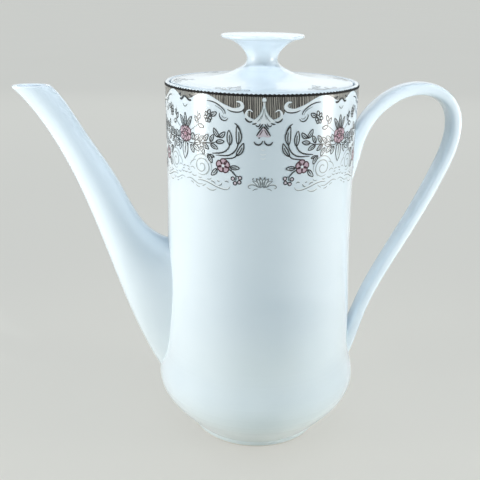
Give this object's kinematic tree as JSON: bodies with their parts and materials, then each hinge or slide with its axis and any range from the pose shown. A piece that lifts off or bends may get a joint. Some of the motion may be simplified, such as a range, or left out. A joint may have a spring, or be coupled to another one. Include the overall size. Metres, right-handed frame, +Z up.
{
  "type": "coffee pot",
  "caption": "Tall porcelain coffee pot with a bulged base, long tapering spout, strap ear handle and an inset lift-off lid with a trumpet knob.",
  "frame": {"origin": "centre of the foot ring, on the surface that the pot stands on", "axes": "+Z up along the body's axis, -X to the spout, +X to the handle"},
  "size_m": [0.2362, 0.1124, 0.2216],
  "materials": {
    "porcelain": "glossy glaze"
  },
  "bodies": {
    "pot": {"pot_body": "porcelain", "spout": "porcelain", "handle": "porcelain"},
    "lid": {"lid": "porcelain", "lid_knob": "porcelain", "lid_lock_lug": "porcelain"}
  },
  "joints": [
    {"name": "lid_lift", "type": "slide", "parent": "pot", "child": "lid", "axis": [0, 0, 1], "range_m": [0, 0.08]}
  ]
}
